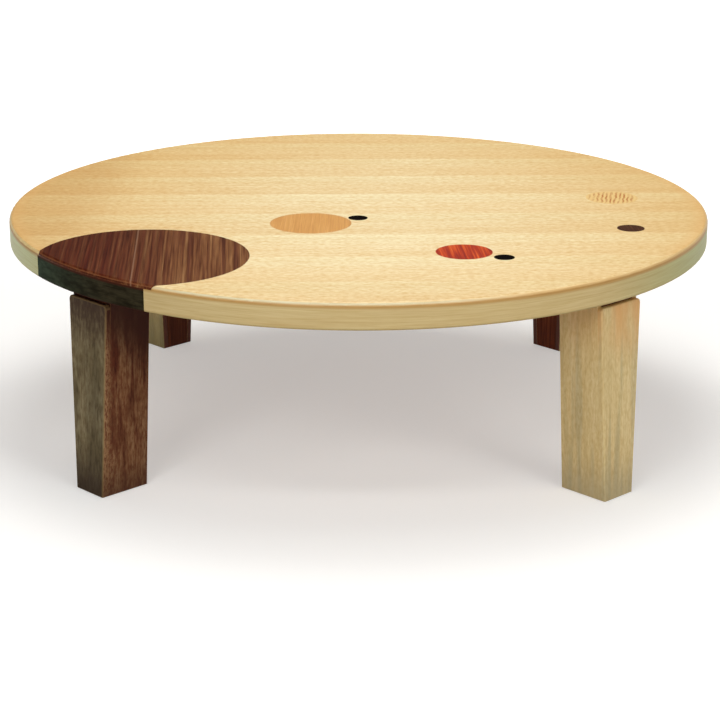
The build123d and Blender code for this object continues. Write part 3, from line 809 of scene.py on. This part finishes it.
def red_tone(tree, grain):
    """The red-brown colour and the height of its fibres, for boards of the front left leg."""
    across = from_arris(tree, LEG_ANGLES["front_left"])
    broad = streaks(tree, grain, 120, 13.0, detail=3)
    fine = streaks(tree, grain, 40, 1.8, detail=4)
    mottle = streaks(tree, grain, 10, 3.6, detail=3, shift=9.0)
    blotch = streaks(tree, grain, 90, 13.0, detail=2, shift=5.0)
    speckle = streaks(tree, grain, 6, 2.2, detail=2, shift=13.0)
    colour = add(tree, "ShaderNodeValToRGB", {"Fac": broad}, stops=[
        (0.3, "#744631"), (0.48, "#8A6344"), (0.62, "#9A7857"), (0.75, "#A88B69")]).outputs[0]
    colour = shade(tree, colour, blotch, [(0.36, "#A9786C"), (0.54, "#FFFFFF")])
    colour = shade(tree, colour, mottle, [(0.3, "#B99B8B"), (0.62, "#FFFFFF")])
    colour = shade(tree, colour, fine, [(0.3, "#D0BDB0"), (0.6, "#FFFFFF")])
    edge = band_of(tree, across, 0.22, 0.02, 0.38)
    colour = lay_over(tree, colour, "#AD8760", edge)
    near = add(tree, "ShaderNodeMath", {
        0: band_of(tree, across, 0.42, 0.1, 0.8), 1: band_of(tree, speckle, 0.44, 0.6)},
        operation="MULTIPLY")
    colour = lay_over(tree, colour, "#5A2C1A", near.outputs[0])
    up = height_of(tree)
    colour = lay_over(tree, colour, "#3A2318", band_of(tree, up, mm(60), mm(0), 0.45))
    lower = add(tree, "ShaderNodeMath", {0: across, 1: mm(SHADOW_RISE), 2: up},
                operation="MULTIPLY_ADD").outputs[0]
    shadow = band_of(tree, lower, mm(SHADOW_FROM), mm(SHADOW_TO), 0.93)
    return lay_over(tree, colour, "#36170D", shadow), fine


def red_walnut(tree):
    colour, fine = red_tone(tree, along_grain(tree, UPRIGHT, wander=2.0))
    colour = turned(tree, colour, tint(HEART_TONE))
    return arris_wear_and_highlight(tree, colour, "#94683F", 0.3), fine


walnut_side = lacquered("walnut_board_red_lacquered", red_walnut, specular=0.08, coat=0.0)
print(walnut_side.name)


# %% [markdown]
# Its outer board is grey-brown, as walnut is once light has faded it. A dark stain comes down from
# the top, patchy where the wood took less of it, and the foot is dark too. Its two edges take the
# side boards' colour.

# %% Walnut outer board, planed and lacquered
def grey_walnut(tree):
    grain = along_grain(tree, UPRIGHT, wander=2.0)
    broad = streaks(tree, grain, 260, 16.0, detail=1)
    fine = streaks(tree, grain, 50, 1.8, detail=4)
    mottle = streaks(tree, grain, 14, 5.0, detail=3, shift=9.0)
    cloud = streaks(tree, grain, 60, 26.0, shift=3.0)
    colour = add(tree, "ShaderNodeValToRGB", {"Fac": broad}, stops=[
        (0.3, "#7D7257"), (0.5, "#897C5D"), (0.7, "#928464")]).outputs[0]
    colour = shade(tree, colour, cloud, [(0.35, "#CFCABD"), (0.6, "#FFFFFF")])
    colour = shade(tree, colour, mottle, [(0.3, "#BDB2A0"), (0.62, "#FFFFFF")])
    colour = shade(tree, colour, fine, [(0.3, "#D0C6B8"), (0.6, "#FFFFFF")])
    up = height_of(tree)
    stain = add(tree, "ShaderNodeMath", {0: band_of(tree, up, mm(200), mm(276)),
                                         1: band_of(tree, mottle, 0.66, 0.4, 0.5)},
                operation="MULTIPLY")
    colour = lay_over(tree, colour, "#3A2010", band_of(tree, up, mm(195), mm(282), 0.72))
    colour = lay_over(tree, colour, "#2E170B", stain.outputs[0])
    colour = lay_over(tree, colour, "#2F1C0E", band_of(tree, up, mm(85), mm(4), 0.86))
    colour = turned(tree, colour, red_tone(tree, grain)[0])
    return arris_wear_and_highlight(tree, colour, "#A08358", 0.3), fine


walnut_outer = lacquered("walnut_board_grey_lacquered", grey_walnut, specular=0.08, coat=0.0)
print(walnut_outer.name)


# %% [markdown]
# The inner boards and the heads are heartwood, dark red-brown with closer rings. One inner board
# comes from a lighter log, so the recipe takes its three tones.

# %% Walnut inner boards, planed and lacquered
def heart_walnut(dark, middle, light):
    """The recipe for an inner board, from a darker or a lighter log."""
    def recipe(tree):
        grain = along_grain(tree, UPRIGHT, wander=3.0)
        broad = streaks(tree, grain, 240, 8.0, detail=3)
        fine = streaks(tree, grain, 50, 1.5, detail=4)
        colour = add(tree, "ShaderNodeValToRGB", {"Fac": broad}, stops=[
            (0.3, dark), (0.5, middle), (0.7, light)]).outputs[0]
        return shade(tree, colour, fine, [(0.3, "#C0A79A"), (0.6, "#FFFFFF")]), fine
    return recipe


walnut_inner = lacquered("walnut_board_heart_lacquered",
                         heart_walnut("#502611", HEART_TONE, "#794223"), specular=0.12, coat=0.0)
walnut_light = lacquered("walnut_board_light_lacquered",
                         heart_walnut("#653018", "#7C3C20", "#94502B"), specular=0.12, coat=0.0)
print(walnut_inner.name, walnut_light.name)


# %% [markdown]
# Rubberwood is a pale tan wood with olive streaks and an orange blush towards the top. Quarter-sawn
# side boards blush less than the flat-sawn outer ones. The back left leg's side boards carry a
# painted shade, darker and more olive, for the shadow they stand in under the table. One recipe
# takes the blush and a tint for painted shade, so the three stay one family.

# %% Rubberwood boards, planed and lacquered
def rubberwood(blushing, tone="#FFFFFF"):
    """The recipe for a board with that much blush under the top, multiplied by a tint for painted
    shade.
    """
    def recipe(tree):
        grain = along_grain(tree, UPRIGHT, wander=1.5)
        broad = streaks(tree, grain, 300, 14.0, detail=1)
        fine = streaks(tree, grain, 60, 2.4, detail=3)
        olive = streaks(tree, grain, 240, 13.0, detail=1, shift=7.0)
        fleck = streaks(tree, grain, 9, 3.0, detail=2, shift=2.0)
        colour = add(tree, "ShaderNodeValToRGB", {"Fac": broad}, stops=[
            (0.3, "#DAC28A"), (0.5, "#E1CA92"), (0.7, "#E5CF9A")]).outputs[0]
        colour = lay_over(tree, colour, "#A79C78", band_of(tree, olive, 0.46, 0.7, 0.42))
        colour = shade(tree, colour, fine, [(0.3, "#F3ECE0"), (0.6, "#FFFFFF")])
        colour = shade(tree, colour, fleck, [(0.3, "#EFE6D6"), (0.6, "#FFFFFF")])
        cloud = streaks(tree, grain, 90, 30.0, detail=1, shift=11.0)
        up = height_of(tree)
        blush = add(tree, "ShaderNodeMath", {0: band_of(tree, up, mm(180), mm(285), blushing),
                                             1: band_of(tree, cloud, 0.25, 0.6)},
                    operation="MULTIPLY").outputs[0]
        colour = lay_over(tree, colour, "#DAA25F", blush)
        colour = lay_over(tree, colour, "#A0977A", band_of(tree, up, mm(70), mm(0), 0.45))
        colour = add(tree, "ShaderNodeMix", {0: 1.0, 6: colour, 7: tint(tone)}, data_type="RGBA",
                     blend_type="MULTIPLY").outputs[2]
        colour = turned(tree, colour, tint(HEART_TONE))
        return arris_wear_and_highlight(tree, colour, "#DCC494", 0.12), fine
    return recipe


rubberwood_outer = lacquered("rubberwood_board_flat_sawn", rubberwood(0.9), specular=0.25)
rubberwood_side = lacquered("rubberwood_board_quarter_sawn", rubberwood(0.4), specular=0.25)
# The back left leg's copy is darkened by a painted shade.
rubberwood_painted_shade = lacquered("rubberwood_board_painted_shade", rubberwood(0.2, "#DAD9C1"),
                             specular=0.2)
print(rubberwood_outer.name, rubberwood_side.name, rubberwood_painted_shade.name)


# %% [markdown]
# ## Inside and underneath
# The panel is closed below with lauan plywood: a rotary-cut sheet, so its figure is broad and wavy.
# The rails and blocks inside it are plain pine, which nobody sees, but a cut or an exploded view
# would show them.

# %% Lauan plywood and pine
def lauan_sheet(tree):
    grain = along_grain(tree, (0.0, 0.0, 0.0), wander=14.0)
    figure = streaks(tree, grain, 520, 26.0, detail=2)
    fine = streaks(tree, grain, 40, 1.4, detail=3)
    pore = streaks(tree, grain, 9, 0.8, detail=0, shift=4.0)
    colour = add(tree, "ShaderNodeValToRGB", {"Fac": figure}, stops=[
        (0.3, "#B98F63"), (0.45, "#C9A074"), (0.55, "#BE9468"), (0.7, "#D3AD82")]).outputs[0]
    colour = shade(tree, colour, fine, [(0.3, "#DDCBB8"), (0.6, "#FFFFFF")])
    return shade(tree, colour, pore, [(0.26, "#AE8C6A"), (0.36, "#FFFFFF")]), fine


def pine_stick(tree):
    grain = along_grain(tree, (0.0, 0.0, 0.0), wander=3.0)
    rings = streaks(tree, grain, 500, 5.0, detail=1)
    fine = streaks(tree, grain, 60, 1.2, detail=3)
    colour = add(tree, "ShaderNodeValToRGB", {"Fac": rings}, stops=[
        (0.35, "#C99A5B"), (0.5, "#E3C48D"), (0.7, "#EBD3A2")]).outputs[0]
    return shade(tree, colour, fine, [(0.3, "#E8DAC4"), (0.6, "#FFFFFF")]), fine


lauan_plywood = lacquered("lauan_plywood_rotary_cut", lauan_sheet, rough=0.6, coat=0.0)
pine = lacquered("pine_planed_bare", pine_stick, rough=0.7, coat=0.0)
print(lauan_plywood.name, pine.name)

# %% [markdown]
# ## Steel and felt
# The brackets, screws and pins are pressed or turned steel with a bright zinc plate, which has a
# faint cloudiness. The cam plates are plain mild steel with the marks of the press, and the leaf
# springs are hardened and blued. The feet end in pads of pressed wool felt.

# %% Plated, pressed and blued steel
def steel(name, code, low, high, cloud, scratch):
    """A metal whose roughness goes from low to high in clouds, with fine scratches, in mm."""
    material, tree = blank_material(name)
    own = add(tree, "ShaderNodeTexCoord").outputs["Object"]
    patch = add(tree, "ShaderNodeTexNoise", {"Vector": own, "Scale": 1000 / cloud, "Detail": 2.0})
    rough = add(tree, "ShaderNodeMapRange", {"Value": patch.outputs["Fac"], "From Min": 0.3,
                                             "From Max": 0.7, "To Min": low, "To Max": high})
    colour = shade(tree, tint(code), patch.outputs["Fac"], [(0.3, "#D8D8D4"), (0.7, "#FFFFFF")])
    marks = streaks(tree, own, 12, scratch, detail=2)
    bump = add(tree, "ShaderNodeBump", {"Height": marks, "Distance": mm(0.01), "Strength": 0.4})
    surface = add(tree, "ShaderNodeBsdfPrincipled", {
        "Base Color": colour, "Metallic": 1.0, "Roughness": rough.outputs[0],
        "Normal": bump.outputs[0]})
    add(tree, "ShaderNodeOutputMaterial", {"Surface": surface.outputs[0]})
    return material


zinc_steel = steel("steel_zinc_plated", "#C4C7C6", 0.28, 0.42, 6.0, 0.5)
cam_steel = steel("mild_steel_pressed", "#8E8F8E", 0.35, 0.55, 4.0, 0.3)
spring_steel = steel("spring_steel_blued", "#5B626B", 0.25, 0.4, 5.0, 0.3)
print(zinc_steel.name, cam_steel.name, spring_steel.name)


# %% [markdown]
# Felt is matt and fuzzy: short fibres catch the light at its edge, which sheen gives.

# %% Wool felt, pressed
FIBRE_PITCH = 0.8


def wool_felt():
    """Pressed wool felt, brown and mottled."""
    material, tree = blank_material("wool_felt_pressed")
    own = add(tree, "ShaderNodeTexCoord").outputs["Object"]
    # The fibres are 0.02 mm thick, so they are drawn coarser to show at all.
    fibre = add(tree, "ShaderNodeTexNoise", {"Vector": own, "Scale": 1000 / FIBRE_PITCH,
                                             "Detail": 4.0})
    colour = add(tree, "ShaderNodeValToRGB", {"Fac": fibre.outputs["Fac"]}, stops=[
        (0.3, "#3A332C"), (0.7, "#5E554A")]).outputs[0]
    bump = add(tree, "ShaderNodeBump", {"Height": fibre.outputs["Fac"], "Distance": mm(0.3)})
    surface = add(tree, "ShaderNodeBsdfPrincipled", {
        "Base Color": colour, "Roughness": 0.95, "Sheen Weight": 0.4, "Specular IOR Level": 0.2,
        "Normal": bump.outputs[0]})
    add(tree, "ShaderNodeOutputMaterial", {"Surface": surface.outputs[0]})
    return material


felt = wool_felt()
print(felt.name)

# %% [markdown]
# ## Easing the edges
# The solids have edges that are either rounded on purpose or perfectly sharp. No real edge is
# sharp: a joiner takes each arris off with a few strokes of sandpaper, and a press leaves a small
# burr-free radius on steel. So each visible piece is a copy of its solid whose sharp edges are
# bevelled by a few tenths of a millimetre. The solid's mesh is loose triangles, so the copy is
# merged first, and flat areas are dissolved so that the bevel only meets real edges.

# %% Softened copies of the solids
# The widest face that still counts as a rounded arris, and the gap at which two vertices are one,
# both in mm.
NARROW = 2.6
MERGE = 0.001
# Faces that turn by less are one flat area, and edges that turn by more are sharp.
FLAT = math.radians(0.3)
FOLD = math.radians(28.0)


def soften(name, ease, material, away=None, span=(0.0, 0.0)):
    """Makes the piece that stands for one solid, with sharp edges rounded by ease mm. Faces whose
    slope along the direction away lies within the span are marked as turned edges."""
    shape = bmesh.new()
    shape.from_mesh(nodes[name].data)
    bmesh.ops.remove_doubles(shape, verts=shape.verts[:], dist=mm(MERGE))
    bmesh.ops.dissolve_limit(shape, angle_limit=FLAT, verts=shape.verts[:], edges=shape.edges[:])
    if ease:
        sharp = [edge for edge in shape.edges
                 if edge.is_manifold and edge.calc_face_angle() > FOLD]
        bmesh.ops.bevel(shape, geom=sharp, offset=mm(ease), offset_type="OFFSET", affect="EDGES",
                        segments=2, profile=0.5, material=-1, clamp_overlap=True)
    mesh = bpy.data.meshes.new(name + "_eased")
    # A face's area over its longest edge is about its width.
    marks = {ARRIS_MARK: [face.calc_area() / max(edge.calc_length() for edge in face.edges) < mm(NARROW)
                    for face in shape.faces]}
    if away:
        marks[TURNED] = [span[0] < face.normal.dot(away) < span[1] for face in shape.faces]
    shape.to_mesh(mesh)
    shape.free()
    for mark, faces in marks.items():
        values = [float(marked) for marked in faces]
        mesh.attributes.new(mark, "FLOAT", "FACE").data.foreach_set("value", values)
    mesh.shade_smooth()
    mesh.set_sharp_from_angle(angle=FOLD)
    mesh.materials.append(material)
    piece = bpy.data.objects.new(name + "_eased", mesh)
    bpy.context.scene.collection.objects.link(piece)
    even = piece.modifiers.new("even_shading", "WEIGHTED_NORMAL")
    even.keep_sharp = True
    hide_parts(name)
    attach(piece, nodes[name]["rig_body"])
    return piece


# %% [markdown]
# ## Dressing the top
# The top's layers were rounded over together after gluing, so only the two edge bands get a trace
# of a bevel: enough to draw the hairline at their seams.

# %% The top
TOP_PIECES = {
    "top_veneer": (0.0, maple_veneer),
    "top_plywood": (0.0, plywood_edge),
    "edge_band_maple": (0.15, maple_band),
    "edge_band_walnut": (0.15, walnut_band),
    "bottom_plywood": (0.0, lauan_plywood),
    "inlay_large_walnut": (0.0, walnut_inlay),
    "inlay_cherry": (0.0, cherry_inlay),
    "inlay_padauk": (0.0, padauk_inlay),
    "inlay_zebrano": (0.0, zebrano_inlay),
    "inlay_rosewood": (0.0, rosewood_inlay),
    "inlay_ebony_outer": (0.0, ebony_inlay),
    "inlay_ebony_centre": (0.0, ebony_inlay),
}
for name, (ease, material) in TOP_PIECES.items():
    piece = soften(name, ease, material)
    print(name, len(piece.data.polygons), "faces")

# %% [markdown]
# ## Dressing the legs and hinges
# The boards are planed and sanded, so their arrises get half a millimetre. The steel gets less. A
# board's turned edges are found by their slope along the line from the table's middle to the leg:
# the sides of an outer board lie square to that line, and the inner ends of the side boards face
# the middle. The back right leg's inner board comes from a lighter log.

# %% The legs
BOARD_EASE = 0.5
UNMARKED = (0.0, 0.0)
BOARDS = {"outer_board": (-0.5, 0.5), "side_boards": (-1.1, -0.7), "inner_board": UNMARKED}
for leg, angle in LEG_ANGLES.items():
    outward = Vector((math.cos(math.radians(angle)), math.sin(math.radians(angle)), 0.0))
    walnut_leg = leg == "front_left"
    woods = {
        "outer_board": walnut_outer if walnut_leg else rubberwood_outer,
        "side_boards": walnut_side if walnut_leg else rubberwood_side,
        "inner_board": walnut_light if leg == "back_right" else walnut_inner,
    }
    # The back left leg's side boards take the copy with painted shade.
    if leg == "back_left":
        woods["side_boards"] = rubberwood_painted_shade
    for board, span in BOARDS.items():
        if board == "outer_board" and not walnut_leg:
            span = UNMARKED
        soften(f"{leg}_{board}", BOARD_EASE, woods[board], away=outward, span=span)
    soften(f"{leg}_head_block", 0.3, walnut_inner)
    soften(f"{leg}_foot_block", 0.0, pine)
    soften(f"{leg}_glide_pad", 0.4, felt)
    soften(f"{leg}_cam_plate", 0.2, cam_steel)
    soften(f"{leg}_cam_rivets", 0.2, zinc_steel)
    soften(f"{leg}_bracket", 0.25, zinc_steel)
    soften(f"{leg}_leaf_spring", 0.1, spring_steel)
    print(leg, "dressed")

# %% [markdown]
# The screws, pins and rivets are small, and the frame inside the top is never seen whole. They are
# dressed all the same, for an exploded view. Only the pins are eased here: a countersunk screw's
# rim is sharp, and the rest lies out of sight.

# %% Fasteners and the hidden frame
HIDDEN_PIECES = {
    "hinge_pins": (0.2, zinc_steel),
    "bracket_screws": (0.0, zinc_steel),
    "spring_rivets": (0.0, zinc_steel),
    "leg_blocks": (0.0, pine),
    "core_rails": (0.0, pine),
}
for name, (ease, material) in HIDDEN_PIECES.items():
    soften(name, ease, material)
print("all", len(nodes), "solids have their finish")
